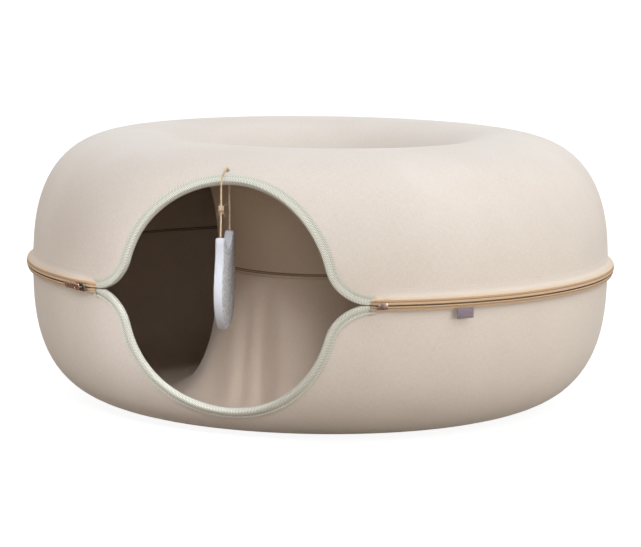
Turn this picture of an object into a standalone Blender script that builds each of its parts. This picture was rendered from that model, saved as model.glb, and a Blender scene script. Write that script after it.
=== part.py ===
"""Round felt pet tunnel: two moulded half-rings that zip together.

Metres, +Z up. The origin is on the ring's axis at floor level, and the bound
side opening faces -Y. Driving dimensions come first. Angles round the ring are
in degrees, counter-clockwise from +X as seen from above.
"""

from math import asin, atan2, cos, degrees, hypot, pi, radians, sin, sqrt

import bmesh
import bpy
from mathutils import Vector

MM = 0.001
UPPER, LOWER = 1, -1

# The moulded ring, measured on the outside of the felt
EQUATOR_R = 293.5 * MM
WAIST_R = 100.0 * MM
ZIP_HEIGHT = 139.0 * MM
RING_HEIGHT = 272.0 * MM
CREST_R = 183.5 * MM
BASE_INNER_R = 156.0 * MM
BASE_OUTER_R = 178.0 * MM
FELT_T = 5.0 * MM
RIM_SETBACK = 4.0 * MM

# How square each quarter of the section is: 2 is an ellipse, more is squarer
CREST_OUTER_POWER = 2.61
CREST_INNER_POWER = 2.51
BASE_OUTER_POWER = 2.70
BASE_INNER_POWER = 2.30

# Facets
RING_STEPS = 60
QUARTER_SPANS_OUTER = 8
QUARTER_SPANS_INNER = 6

# Side opening: a round hole whose edge runs out to a corner on the zip line. Its
# radius leaves OPENING_CLEAR of height above and below it in the shorter half.
OPENING_ANGLE = 270.0
OPENING_RISE = 6.0 * MM
OPENING_CLEAR = 25.0 * MM
OPENING_R = min(RING_HEIGHT - ZIP_HEIGHT, ZIP_HEIGHT) - OPENING_RISE - OPENING_CLEAR
CORNER_RUN = 38.5 * MM
CORNER_X = OPENING_R + CORNER_RUN
OPENING_ARC_STEPS = 26
OPENING_FILLET_STEPS = 7

# Folded webbing over the opening's edge
BINDING_W = 11.0 * MM
BINDING_T = 1.2 * MM
SEAT_GAP = 0.3 * MM

# How far the opening's cutters reach past the felt, and past the whole ring
CUT_REACH = 14.0 * MM
CUT_OVERRUN = 60.0 * MM

# Zips: a pair of tapes whose lips meet proud of the felt, coils behind them
LIP_STAND = 6.5 * MM
LIP_GAP = 1.4 * MM
LIP_H = 3.6 * MM
WEB_H = 9.0 * MM
TAPE_H = 11.5 * MM
TAPE_T = 1.2 * MM
COIL_T = 1.8 * MM
COIL_H = 2.3 * MM
COIL_GAP = 0.5 * MM
RUN_GAP = 0.6 * MM
OUTER_ZIP_STEPS = 64
WAIST_ZIP_STEPS = 40
CORNER_MARGIN = 0.5 * MM
WAIST_ZIP_GAP = 16.0 * MM
WAIST_ZIP_ANGLE = 90.0

# Zip end fittings
STOP_L = 3.0 * MM
BOX_L = 9.0 * MM
BOX_WALL = 1.1 * MM
BOX_HALF_H = 3.1 * MM

# Slider, in its own frame: along the zip, outwards from the lips, up
SLIDER_L = 15.0 * MM
SLIDER_TAIL_SHARE = 0.78
SLIDER_HALF_H = 4.0 * MM
PLATE_T = 1.2 * MM
FLANGE_H = 0.6 * MM
FLANGE_REACH = 0.4 * MM
POST_T = 0.6 * MM
POST_L = 5.0 * MM
ARCH_L = 8.6 * MM
ARCH_LEG = 1.2 * MM
ARCH_CLEAR = 2.6 * MM
ARCH_T = 1.1 * MM
ARCH_W = 1.7 * MM

# Pull tab
PULL_L = 23.0 * MM
PULL_T = 1.2 * MM
PULL_HALF_H = 2.9 * MM
PULL_EYE_L = 5.6 * MM
PULL_EYE_HALF_H = 1.5 * MM
PULL_BAR = 1.1 * MM

# Blank ribbon tab sewn in below the zip
LABEL_ANGLE = 315.2
LABEL_W = 17.0 * MM
LABEL_H = 10.0 * MM
LABEL_T = 1.2 * MM

# Twine and the felt plaque that hangs from it
TWINE_R = 1.0 * MM
TWINE_HOLE_R = 2.3 * MM
TWINE_HOLE_ANGLE = 268.1
TWINE_HOLE_RISE = 9.0 * MM
TWINE_SLACK = 2.0 * MM
TWINE_DROP = 50.0 * MM
KNOT_L = 7.0 * MM
KNOT_R = 2.9 * MM
KNOT_SHARE = 0.5
PLAQUE_W = 83.0 * MM
PLAQUE_H = 88.0 * MM
PLAQUE_T = 8.2 * MM
PLAQUE_TURN = 12.1
EAR_SPREAD = 56.0 * MM
EAR_GAP = 0.6 * MM

# Finishes: colour, roughness, metallic
SHELL_FELT = (0.66, 0.57, 0.48), 0.95, 0.0
SAGE_WEBBING = (0.60, 0.59, 0.49), 0.9, 0.0
CAMEL_TAPE = (0.52, 0.35, 0.20), 0.85, 0.0
COIL_NYLON = (0.45, 0.31, 0.18), 0.5, 0.0
ANTIQUE_METAL = (0.30, 0.24, 0.19), 0.35, 1.0
ROSE_METAL = (0.72, 0.50, 0.40), 0.3, 1.0
MAUVE_RIBBON = (0.22, 0.19, 0.24), 0.8, 0.0
JUTE = (0.55, 0.40, 0.25), 0.95, 0.0
TOY_FELT = (0.62, 0.62, 0.64), 0.95, 0.0


def start_empty():
    for thing in list(bpy.data.objects):
        bpy.data.objects.remove(thing, do_unlink=True)
    for name in ("felt_pet_tunnel", "cutters"):
        group = bpy.data.collections.get(name) or bpy.data.collections.new(name)
        if name not in bpy.context.scene.collection.children:
            bpy.context.scene.collection.children.link(group)


def finish(piece, look):
    """Gives a piece a Principled material of its own."""
    colour, roughness, metallic = look
    made = bpy.data.materials.new(piece.name)
    made.use_nodes = True
    shader = made.node_tree.nodes["Principled BSDF"]
    shader.inputs["Base Color"].default_value = (*colour, 1.0)
    shader.inputs["Roughness"].default_value = roughness
    shader.inputs["Metallic"].default_value = metallic
    piece.data.materials.append(made)


def place(name, shape, look=None):
    """Puts a bmesh into the scene: a part when it has a finish, else a cutter."""
    mesh = bpy.data.meshes.new(name)
    shape.to_mesh(mesh)
    shape.free()
    piece = bpy.data.objects.new(name, mesh)
    bpy.data.collections["felt_pet_tunnel" if look else "cutters"].objects.link(piece)
    if look:
        finish(piece, look)
    else:
        piece.hide_render = True
        piece.display_type = "WIRE"
    return piece


def combine(piece, other, operation):
    step = piece.modifiers.new(other.name, "BOOLEAN")
    step.solver = "EXACT"
    step.operation = operation
    step.object = other


# The ring's section

def quarter_of(half, outer):
    """End radius, crest or base radius, height and squareness of one quarter."""
    end = EQUATOR_R if outer else WAIST_R
    if half == UPPER:
        power = CREST_OUTER_POWER if outer else CREST_INNER_POWER
        return end, CREST_R, RING_HEIGHT - ZIP_HEIGHT, power
    power = BASE_OUTER_POWER if outer else BASE_INNER_POWER
    return end, (BASE_OUTER_R if outer else BASE_INNER_R), ZIP_HEIGHT, power


def quarter_points(half, outer, setback):
    """Radius and height of the felt's outside, from its rim to its crest or base."""
    end, middle, height, power = quarter_of(half, outer)
    spans = QUARTER_SPANS_OUTER if outer else QUARTER_SPANS_INNER
    first = asin((setback / height) ** (power / 2))
    points = []
    for step in range(spans + 1):
        turn = first + (pi / 2 - first) * step / spans
        along = max(cos(turn), 0.0) ** (2 / power)
        points.append(
            (middle + (end - middle) * along, height * sin(turn) ** (2 / power))
        )
    return points


def section(half, setback):
    """The half-ring's outside, ordered so that its outer side runs downwards."""
    outer = quarter_points(half, True, setback)
    inner = quarter_points(half, False, setback)
    points = inner + outer[::-1] if half == UPPER else outer + inner[::-1]
    points = [(r, ZIP_HEIGHT + half * h) for r, h in points]
    tidy = [points[0]]
    for point in points[1:]:
        if hypot(point[0] - tidy[-1][0], point[1] - tidy[-1][1]) > SEAT_GAP:
            tidy.append(point)
    return tidy


def radius_at(half, rise):
    """Radius of the outer side, and its slope, at a height from the zip line."""
    end, middle, height, power = quarter_of(half, True)
    share = rise / height
    inside = 1 - share**power
    radius = middle + (end - middle) * inside ** (1 / power)
    slope = -(end - middle) * share ** (power - 1) * inside ** (1 / power - 1)
    return radius, slope / height


def turned(name, profile, look, outward, inward, first=0.0, sweep=360.0,
           steps=RING_STEPS):
    """Turns an open profile about Z and gives it a wall.

    The wall reaches outward and inward from the profile, on the side of its
    face and behind it.
    """
    shape = bmesh.new()
    verts = [shape.verts.new((r, 0.0, z)) for r, z in profile]
    for a, b in zip(verts, verts[1:]):
        shape.edges.new((a, b))
    piece = place(name, shape, look)
    piece.rotation_euler.z = radians(first)
    screw = piece.modifiers.new("turn", "SCREW")
    screw.axis = "Z"
    screw.angle = radians(sweep)
    screw.steps = steps
    screw.render_steps = steps
    screw.use_merge_vertices = sweep == 360.0
    screw.merge_threshold = 0.1 * MM
    screw.use_smooth_shade = True
    wall = piece.modifiers.new("wall", "SOLIDIFY")
    wall.thickness = outward + inward
    wall.offset = (outward - inward) / (outward + inward)
    wall.use_even_offset = True
    return piece


# The side opening

def opening_edge():
    """The upper half's cut edge, left corner to right: x and height over the zip.

    A large arc is joined to the zip line by a fillet at each end, tangent to both.
    """
    reach, rise, radius = CORNER_X, OPENING_RISE, OPENING_R
    fillet = (reach**2 + rise**2 - radius**2) / (2 * (radius + rise))
    lean = atan2(fillet - rise, reach)
    points = []
    for step in range(OPENING_FILLET_STEPS):
        turn = -pi / 2 + (pi / 2 - lean) * step / OPENING_FILLET_STEPS
        points.append((-reach + fillet * cos(turn), fillet + fillet * sin(turn)))
    for step in range(OPENING_ARC_STEPS + 1):
        turn = pi - lean - (pi - 2 * lean) * step / OPENING_ARC_STEPS
        points.append((radius * cos(turn), rise + radius * sin(turn)))
    return points + [(-x, h) for x, h in points[OPENING_FILLET_STEPS - 1::-1]]


def on_shell(half, x, rise):
    radius, slope = radius_at(half, rise)
    y = -sqrt(radius**2 - x**2)
    point = Vector((x, y, ZIP_HEIGHT + half * rise))
    normal = Vector((x / radius, y / radius, -half * slope)).normalized()
    return point, normal


def edge_frames(half):
    """Point, outward normal and direction away from the hole, along the cut edge."""
    seats = [on_shell(half, x, rise) for x, rise in opening_edge()]
    frames = []
    for index, (point, normal) in enumerate(seats):
        before = seats[max(index - 1, 0)][0]
        after = seats[min(index + 1, len(seats) - 1)][0]
        away = half * normal.cross(after - before).normalized()
        if index in (0, len(seats) - 1):
            away = Vector((0.0, 0.0, float(half)))
        frames.append((point, normal, away))
    return frames


def opening_cutter(name, half, grow):
    """A plug for the opening whose side walls stand square to the felt.

    It is the opening's outline, moved by grow over the surface, lofted along the
    felt's normals and then straight out and straight in.
    """
    walls = [(point + grow * away, normal) for point, normal, away in edge_frames(half)]
    feet = []
    for point, normal in (walls[-1], walls[0]):
        foot = Vector((point.x, point.y, ZIP_HEIGHT - half * CUT_REACH))
        feet.append((foot, Vector((normal.x, normal.y, 0.0)).normalized()))
    walls += feet
    far, near = -EQUATOR_R - CUT_OVERRUN, -(EQUATOR_R + CREST_R) / 2
    rings = [[], [], [], []]
    for point, normal in walls:
        out, back = point + CUT_REACH * normal, point - CUT_REACH * normal
        rings[0].append(Vector((out.x, far, out.z)))
        rings[1].append(out)
        rings[2].append(back)
        rings[3].append(Vector((back.x, near, back.z)))
    shape = bmesh.new()
    loops = [[shape.verts.new(p) for p in ring] for ring in rings]
    count = len(walls)
    for first, second in zip(loops, loops[1:]):
        for i in range(count):
            j = (i + 1) % count
            shape.faces.new((first[i], first[j], second[j], second[i]))
    shape.faces.new(loops[0])
    shape.faces.new(loops[-1])
    bmesh.ops.recalc_face_normals(shape, faces=shape.faces)
    return place(name, shape)


def binding(name, half):
    """Webbing folded over the cut edge: a U that follows the felt all the way."""
    step = 360.0 / RING_STEPS
    half_steps = int(degrees(asin(CORNER_X / EQUATOR_R)) / step) + 2
    arc = dict(first=OPENING_ANGLE - half_steps * step, sweep=2 * half_steps * step,
               steps=2 * half_steps)
    skin = SEAT_GAP + BINDING_T
    outer = quarter_points(half, True, LIP_GAP / 2)
    felt = quarter_points(half, True, RIM_SETBACK - SEAT_GAP)
    if half == UPPER:
        outer, felt = outer[::-1], felt[::-1]
    outer = [(r, ZIP_HEIGHT + half * h) for r, h in outer]
    felt = [(r, ZIP_HEIGHT + half * h) for r, h in felt]
    piece = turned(name, outer, SAGE_WEBBING, skin, FELT_T + skin, **arc)
    wide = opening_cutter(name + "_width", half, BINDING_W)
    fold = opening_cutter(name + "_fold", half, -skin)
    edge = opening_cutter(name + "_edge", half, -SEAT_GAP)
    groove = turned(name + "_groove", felt, None, SEAT_GAP, FELT_T + SEAT_GAP, **arc)
    combine(groove, edge, "DIFFERENCE")
    combine(piece, wide, "INTERSECT")
    combine(piece, fold, "DIFFERENCE")
    combine(piece, groove, "DIFFERENCE")
    return piece


# Zips. A zip faces out (+1) on the ring's outside and in (-1) at the waist.

class Zip:
    def __init__(self, name, felt_r, facing, start, end, steps):
        self.name, self.facing = name, facing
        self.lip_r = felt_r + facing * LIP_STAND
        self.start, self.end, self.steps = start, end, steps

    def radius(self, depth):
        """Radius at a depth behind the lips."""
        return self.lip_r - self.facing * depth

    def angle(self, length):
        return degrees(length / self.lip_r)


def tape_profile(zip_, half):
    """The tape's visible face: lip, slanting web, and the foot sewn to the felt."""
    foot = LIP_STAND - SEAT_GAP - TAPE_T
    line = [(0.0, LIP_GAP / 2), (0.0, LIP_H), (foot, WEB_H), (foot, TAPE_H)]
    points = [(zip_.radius(d), ZIP_HEIGHT + half * h) for d, h in line]
    runs_down = (half == UPPER) == (zip_.facing == 1)
    return points[::-1] if runs_down else points


def coil_profile(zip_, half):
    depth = TAPE_T + COIL_GAP
    low, high = LIP_GAP / 2, LIP_GAP / 2 + COIL_H
    points = [(zip_.radius(depth), ZIP_HEIGHT + half * h) for h in (low, high)]
    runs_down = (half == UPPER) == (zip_.facing == 1)
    return points[::-1] if runs_down else points


def zip_rows(zip_, half):
    """One half's tape over its whole run, and its coil between the end fittings."""
    side = "upper" if half == UPPER else "lower"
    turned(f"{zip_.name}_tape_{side}", tape_profile(zip_, half), CAMEL_TAPE,
           0.0, TAPE_T, zip_.start, zip_.end - zip_.start, zip_.steps)
    first = zip_.start + zip_.angle(BOX_L + SEAT_GAP)
    last = zip_.end - zip_.angle(STOP_L + SEAT_GAP)
    turned(f"{zip_.name}_coil_{side}", coil_profile(zip_, half), COIL_NYLON,
           0.0, COIL_T, first, last - first, zip_.steps)


def zip_prism(zip_, outline, axis, low, high):
    """A prism in the zip's own frame: along it (a), behind the lips (d), up (h).

    The outline lists the two coordinates other than axis, in a, d, h order.
    """
    shape = bmesh.new()
    ends = []
    for level in (low, high):
        ring = []
        for one, two in outline:
            a, d, h = {"a": (level, one, two), "d": (one, level, two),
                       "h": (one, two, level)}[axis]
            ring.append(shape.verts.new((zip_.radius(d), a, h)))
        ends.append(ring)
    count = len(outline)
    for i in range(count):
        j = (i + 1) % count
        shape.faces.new((ends[0][i], ends[0][j], ends[1][j], ends[1][i]))
    shape.faces.new(ends[0])
    shape.faces.new(ends[1])
    bmesh.ops.recalc_face_normals(shape, faces=shape.faces)
    return shape


def zip_block(zip_, length, depth, height):
    corners = [(d, h) for d, h in ((depth[0], height[0]), (depth[1], height[0]),
                                   (depth[1], height[1]), (depth[0], height[1]))]
    return zip_prism(zip_, corners, "a", length[0], length[1])


def set_at(piece, angle, height=ZIP_HEIGHT):
    """Turns a piece made in a zip's frame to its place round the ring."""
    piece.rotation_euler.z = radians(angle)
    piece.location.z = height


def zip_fittings(zip_):
    """End stops, retainer box and insertion pin, each in line with the coils."""
    behind = TAPE_T + COIL_GAP
    low, high = LIP_GAP / 2, LIP_GAP / 2 + COIL_H
    back = behind + COIL_T + RUN_GAP
    stop_angle = zip_.end - zip_.angle(STOP_L / 2)
    half_stop = STOP_L / 2
    for half, side in ((UPPER, "upper"), (LOWER, "lower")):
        span = sorted((half * low, half * high))
        shape = zip_block(zip_, (-half_stop, half_stop), (behind, back), span)
        set_at(place(f"{zip_.name}_stop_{side}", shape, ANTIQUE_METAL), stop_angle)
    half_box = BOX_L / 2
    box_angle = zip_.start + zip_.angle(half_box)
    pin = zip_block(zip_, (-half_box, half_box), (behind, behind + COIL_T), (low, high))
    set_at(place(f"{zip_.name}_insertion_pin", pin, ANTIQUE_METAL), box_angle)
    outside, web = -RUN_GAP, POST_T / 2
    section_points = [
        (outside - BOX_WALL, -BOX_HALF_H), (outside, -BOX_HALF_H), (outside, -web),
        (back, -web), (back, -BOX_HALF_H), (back + BOX_WALL, -BOX_HALF_H),
        (back + BOX_WALL, BOX_HALF_H), (back, BOX_HALF_H), (back, web),
        (outside, web), (outside, BOX_HALF_H), (outside - BOX_WALL, BOX_HALF_H),
    ]
    box = zip_prism(zip_, section_points, "a", -half_box, half_box)
    set_at(place(f"{zip_.name}_retainer_box", box, ANTIQUE_METAL), box_angle)


def slider_angle(zip_):
    """Where the closed slider stands: just short of the end stops."""
    return zip_.end - zip_.angle(STOP_L + SEAT_GAP + SLIDER_L / 2)


def pull_depth():
    """Depth of the pull's cross bar, under the arch: negative is proud of the lips."""
    return -(RUN_GAP + PLATE_T + ARCH_CLEAR / 2)


def slider(zip_):
    """Front plate, blade between the lips, C-shaped back, and the arch for the pull."""
    face, plate = -RUN_GAP, -RUN_GAP - PLATE_T
    half_l, tall = SLIDER_L / 2, SLIDER_HALF_H
    tail = tall * SLIDER_TAIL_SHARE
    shoulder = half_l - POST_L
    shield = [(-half_l, -tail), (-half_l + PLATE_T, -tail - PLATE_T / 2),
              (shoulder, -tall), (half_l - PLATE_T, -tall), (half_l, -tall + PLATE_T),
              (half_l, tall - PLATE_T), (half_l - PLATE_T, tall), (shoulder, tall),
              (-half_l + PLATE_T, tail + PLATE_T / 2), (-half_l, tail)]
    front = place(f"{zip_.name}_slider", zip_prism(zip_, shield, "d", plate, face),
                  ANTIQUE_METAL)
    back = TAPE_T + COIL_GAP + COIL_T + RUN_GAP
    inner, lip = tall - FLANGE_H, back - FLANGE_REACH
    channel = [(back + PLATE_T, -tall), (back + PLATE_T, tall), (lip, tall),
               (lip, inner), (back, inner), (back, -inner), (lip, -inner), (lip, -tall)]
    rear = place(f"{zip_.name}_slider_back",
                 zip_prism(zip_, channel, "a", -half_l, half_l))
    blade = zip_block(zip_, (half_l - POST_L - PLATE_T, half_l - PLATE_T),
                      (face - PLATE_T / 2, back + PLATE_T / 2), (-POST_T / 2, POST_T / 2))
    post = place(f"{zip_.name}_slider_post", blade)
    foot, span = plate + PLATE_T / 2, ARCH_L / 2
    hollow, top = plate - ARCH_CLEAR, plate - ARCH_CLEAR - ARCH_T
    bow = [(-span, foot), (-span, hollow), (-span + ARCH_LEG, top),
           (span - ARCH_LEG, top), (span, hollow), (span, foot),
           (span - ARCH_LEG, foot), (span - ARCH_LEG, hollow),
           (-span + ARCH_LEG, hollow), (-span + ARCH_LEG, foot)]
    arch = place(f"{zip_.name}_slider_arch",
                 zip_prism(zip_, bow, "h", -ARCH_W / 2, ARCH_W / 2))
    for other in (post, rear, arch):
        combine(front, other, "UNION")
    for thing in (front, post, rear, arch):
        set_at(thing, slider_angle(zip_))


def pull(zip_):
    """A flat tab that hangs by the end bar of its eye, trailing the slider.

    At the waist the zip curves towards the tab, which leans away along a chord.
    """
    axis_r = zip_.radius(pull_depth())
    turn = radians(slider_angle(zip_))
    lean = asin(PULL_L / (2 * zip_.lip_r)) if zip_.facing == -1 else 0.0
    pivot = bpy.data.objects.new(f"{zip_.name}_pull_axis", None)
    bpy.data.collections["felt_pet_tunnel"].objects.link(pivot)
    pivot.location = (axis_r * cos(turn), axis_r * sin(turn), ZIP_HEIGHT)
    pivot.rotation_euler.z = turn - lean
    narrow = PULL_EYE_HALF_H + PULL_BAR
    start, eye_end = PULL_BAR / 2, -PULL_BAR / 2 - PULL_EYE_L
    flare = eye_end - PULL_BAR
    tip = start - PULL_L
    outline = [(start, -narrow), (start, narrow), (eye_end, narrow),
               (flare, PULL_HALF_H)]
    for step in range(7):
        bend = pi / 2 - pi * step / 6
        outline.append((tip + PULL_HALF_H - PULL_HALF_H * cos(bend),
                        PULL_HALF_H * sin(bend)))
    outline += [(flare, -PULL_HALF_H), (eye_end, -narrow)]
    centred = Zip(zip_.name, -zip_.facing * LIP_STAND, zip_.facing, 0.0, 0.0, 1)
    tab = place(f"{zip_.name}_pull",
                zip_prism(centred, outline, "d", -PULL_T / 2, PULL_T / 2), ROSE_METAL)
    hole = zip_block(centred, (eye_end, -PULL_BAR / 2), (-PULL_T, PULL_T),
                     (-PULL_EYE_HALF_H, PULL_EYE_HALF_H))
    eye = place(f"{zip_.name}_pull_eye", hole)
    combine(tab, eye, "DIFFERENCE")
    tab.parent = pivot
    eye.parent = pivot


def label_tab(zip_):
    """A ribbon folded on itself, sewn in under the zip's lower web."""
    top = -(SLIDER_HALF_H + SEAT_GAP + SEAT_GAP / 2)
    web = (LIP_H + top) * (LIP_STAND - SEAT_GAP - TAPE_T) / (LIP_H - WEB_H)
    back = web - SEAT_GAP
    middle, round_r = back - LABEL_T / 2, LABEL_T / 2
    outline = [(back, top), (middle - round_r, top)]
    for step in range(5):
        bend = pi * step / 4
        outline.append((middle - round_r * cos(bend),
                        top - LABEL_H + round_r - round_r * sin(bend)))
    shape = zip_prism(zip_, outline, "a", -LABEL_W / 2, LABEL_W / 2)
    set_at(place("label_tab", shape, MAUVE_RIBBON), LABEL_ANGLE)


# Twine and plaque

def smooth_route(stops, spacing):
    """Points about spacing apart on a smooth curve through the stops."""
    ends = [2 * stops[0] - stops[1]] + stops + [2 * stops[-1] - stops[-2]]
    route = []
    for a, b, c, d in zip(ends, ends[1:], ends[2:], ends[3:]):
        count = max(1, round((c - b).length / spacing))
        for step in range(count):
            t = step / count
            route.append(0.5 * (2 * b + (c - a) * t + (2 * a - 5 * b + 4 * c - d) * t**2
                                + (3 * b - 3 * c + d - a) * t**3))
    return route + [stops[-1]]


def hole_seat():
    """The twine hole on the felt: its centre and its axis."""
    rise = OPENING_RISE + OPENING_R + TWINE_HOLE_RISE
    radius = radius_at(UPPER, rise)[0]
    return on_shell(UPPER, radius * cos(radians(TWINE_HOLE_ANGLE)), rise)


def twine_turns():
    """Where the twine leaves the binding's fold outside, and the hole inside."""
    top, axis = hole_seat()
    edge, normal = on_shell(UPPER, top.x, OPENING_RISE + OPENING_R)
    down = Vector((1.0, 0.0, 0.0)).cross(normal).normalized()
    off = BINDING_T + TWINE_R + SEAT_GAP
    brow = edge + (off + 2 * SEAT_GAP) * normal + off * down
    return brow, top - (FELT_T + TWINE_R + TWINE_SLACK) * axis


def hung():
    """The plaque's way across, and the two points where the twine meets its ears."""
    brow, inside = twine_turns()
    turn = radians(PLAQUE_TURN)
    across = Vector((-sin(turn), cos(turn), 0.0))
    centre = brow.lerp(inside, 0.5)
    centre.z = ZIP_HEIGHT + OPENING_RISE + OPENING_R - TWINE_DROP
    reach = EAR_SPREAD / 2
    return across, centre, centre - reach * across, centre + reach * across


def twine():
    """One loop of twine: up from one ear over the binding, through the hole from
    outside, and straight down inside to the other ear."""
    top, axis = hole_seat()
    brow, inside = twine_turns()
    above = top + (BINDING_T + TWINE_R + 3 * SEAT_GAP) * axis
    _, _, near_ear, far_ear = hung()
    stops = [near_ear, near_ear.lerp(brow, 0.5), brow, above,
             top - (FELT_T / 2) * axis, inside, inside.lerp(far_ear, 0.5), far_ear]
    route = smooth_route(stops, 2.6 * TWINE_R)
    line = bpy.data.curves.new("twine_loop", "CURVE")
    line.dimensions = "3D"
    line.bevel_depth = TWINE_R
    line.bevel_resolution = 2
    line.use_fill_caps = True
    spline = line.splines.new("POLY")
    spline.points.add(len(route) - 1)
    for spot, place_at in zip(spline.points, route):
        spot.co = (*place_at, 1.0)
    loop = bpy.data.objects.new("twine_loop", line)
    bpy.data.collections["felt_pet_tunnel"].objects.link(loop)
    finish(loop, JUTE)
    knot_at = near_ear.lerp(brow, KNOT_SHARE)
    along = (brow - near_ear).normalized()
    bore = TWINE_R + SEAT_GAP
    bead = [(bore, KNOT_L / 2), (bore + BINDING_T / 2, KNOT_L / 2),
            (KNOT_R, KNOT_L / 6), (KNOT_R, -KNOT_L / 6),
            (bore + BINDING_T / 2, -KNOT_L / 2), (bore, -KNOT_L / 2)]
    shape = bmesh.new()
    verts = [shape.verts.new((r, 0.0, z)) for r, z in bead]
    for i, vert in enumerate(verts):
        shape.edges.new((vert, verts[(i + 1) % len(verts)]))
    knot = place("twine_knot", shape, JUTE)
    screw = knot.modifiers.new("turn", "SCREW")
    screw.steps = 10
    screw.render_steps = 10
    screw.use_merge_vertices = True
    screw.merge_threshold = 0.1 * MM
    knot.location = knot_at
    knot.rotation_euler = along.to_track_quat("Z", "Y").to_euler()


# Half of the plaque's outline, from the dip between its ears round to its chin:
# across as a share of its half width, down as a share of its height
PLAQUE_OUTLINE_SHARES = [
    (0.00, 0.145), (0.30, 0.105), (0.50, 0.045), (0.60, 0.000), (0.76, 0.000),
    (0.80, 0.040), (0.80, 0.140), (0.86, 0.280), (0.955, 0.410), (1.00, 0.540),
    (0.975, 0.660), (0.88, 0.765), (0.72, 0.860), (0.52, 0.940), (0.34, 0.985),
    (0.18, 1.000), (0.00, 1.000),
]


def plaque():
    """A thick felt plaque with two blunt ears, hung by both, turned edge-on."""
    across, centre, _, _ = hung()
    shape = bmesh.new()
    wide = PLAQUE_W / 2
    verts = [shape.verts.new((wide * u, 0.0, -PLAQUE_H * v))
             for u, v in PLAQUE_OUTLINE_SHARES]
    shape.faces.new(verts)
    piece = place("toy_plaque", shape, TOY_FELT)
    mirror = piece.modifiers.new("other_ear", "MIRROR")
    mirror.use_axis = (True, False, False)
    mirror.use_clip = True
    mirror.merge_threshold = 0.1 * MM
    wall = piece.modifiers.new("thickness", "SOLIDIFY")
    wall.thickness = PLAQUE_T
    wall.offset = 0.0
    piece.location = centre - Vector((0.0, 0.0, EAR_GAP))
    piece.rotation_euler.z = atan2(across.y, across.x)


def build():
    start_empty()

    # Shells with the opening and the twine hole cut through them
    seat, axis = hole_seat()
    for half, side in ((UPPER, "upper"), (LOWER, "lower")):
        shell = turned(f"{side}_shell", section(half, RIM_SETBACK), SHELL_FELT,
                       0.0, FELT_T)
        combine(shell, opening_cutter(f"{side}_opening", half, 0.0), "DIFFERENCE")
        if half == UPPER:
            drill = bmesh.new()
            bmesh.ops.create_cone(drill, cap_ends=True, segments=12,
                                  radius1=TWINE_HOLE_R, radius2=TWINE_HOLE_R,
                                  depth=4 * FELT_T)
            punch = place("twine_hole", drill)
            punch.location = seat - (FELT_T / 2) * axis
            punch.rotation_euler = axis.to_track_quat("Z", "Y").to_euler()
            combine(shell, punch, "DIFFERENCE")
        binding(f"{side}_binding", half)

    corner = degrees(asin(CORNER_X / EQUATOR_R)) + degrees(CORNER_MARGIN / EQUATOR_R)
    outer_zip = Zip("outer_zip", EQUATOR_R, 1, OPENING_ANGLE + corner,
                    OPENING_ANGLE + 360.0 - corner, OUTER_ZIP_STEPS)
    half_gap = degrees(WAIST_ZIP_GAP / (WAIST_R - LIP_STAND)) / 2
    waist_zip = Zip("waist_zip", WAIST_R, -1, WAIST_ZIP_ANGLE + half_gap,
                    WAIST_ZIP_ANGLE + 360.0 - half_gap, WAIST_ZIP_STEPS)
    for zip_ in (outer_zip, waist_zip):
        for half in (UPPER, LOWER):
            zip_rows(zip_, half)
        zip_fittings(zip_)
        slider(zip_)
        pull(zip_)
    label_tab(outer_zip)
    twine()
    plaque()


build()
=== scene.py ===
"""Looks and fine forms of a round felt pet tunnel, set over its solid model.

Metres, +Z up; the bound side opening faces -Y. Rise is measured from the zip line,
upwards in the upper half and downwards in the lower, and depth from a zip's lips
into the ring. After the photograph's view come the hanging twine, the moulded felt,
the bound edges, the zips, the ribbon tab and the plaque, and then the studio.
"""

from math import asin, atan2, copysign, cos, degrees, hypot, pi, radians, sin, sqrt

import bmesh
import bpy
import numpy as np
from mathutils import Matrix, Vector


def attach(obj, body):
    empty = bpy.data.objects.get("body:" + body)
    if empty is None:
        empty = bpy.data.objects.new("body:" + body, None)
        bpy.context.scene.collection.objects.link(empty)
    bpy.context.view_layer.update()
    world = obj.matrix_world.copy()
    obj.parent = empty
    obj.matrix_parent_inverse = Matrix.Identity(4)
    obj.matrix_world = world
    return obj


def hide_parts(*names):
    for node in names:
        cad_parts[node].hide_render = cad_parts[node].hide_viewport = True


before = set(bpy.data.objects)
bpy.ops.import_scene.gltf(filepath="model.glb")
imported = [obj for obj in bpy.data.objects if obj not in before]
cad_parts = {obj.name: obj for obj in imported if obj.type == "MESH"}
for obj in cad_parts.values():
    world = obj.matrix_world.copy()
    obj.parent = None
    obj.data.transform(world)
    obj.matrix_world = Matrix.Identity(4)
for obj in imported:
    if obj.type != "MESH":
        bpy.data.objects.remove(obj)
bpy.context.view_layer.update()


# The view. The photograph was taken from 2.6 m away, half a metre up and to the
# right of the opening, with the camera tipped down a little and not quite level.
def linked(name, data):
    """A new object in the scene."""
    thing = bpy.data.objects.new(name, data)
    bpy.context.scene.collection.objects.link(thing)
    return thing


camera = linked("photo_view", bpy.data.cameras.new("photo_view"))
bpy.context.scene.camera = camera
DISTANCE, EYE_HEIGHT = 2.6148, 0.5053
AZIMUTH, PITCH, ROLL = radians(18.5), 0.1373, 0.0126
camera.data.sensor_width = 36.0
camera.data.lens = 144.19
camera.data.shift_y = -0.0272
camera.data.clip_end = 60.0
camera.matrix_world = (
    Matrix.Rotation(AZIMUTH, 4, "Z")
    @ Matrix.Translation((0.0, -DISTANCE, EYE_HEIGHT))
    @ Matrix.Rotation(pi / 2 - PITCH, 4, "X")
    @ Matrix.Rotation(ROLL, 4, "Z")
)


# The twine. One loop of two-ply jute runs from the plaque's near ear over the
# bound edge, in through a hole in the felt and straight down to the far ear. Its
# two plies are twisted tubes, with loose fibres standing off them.
MM = 0.001

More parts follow.
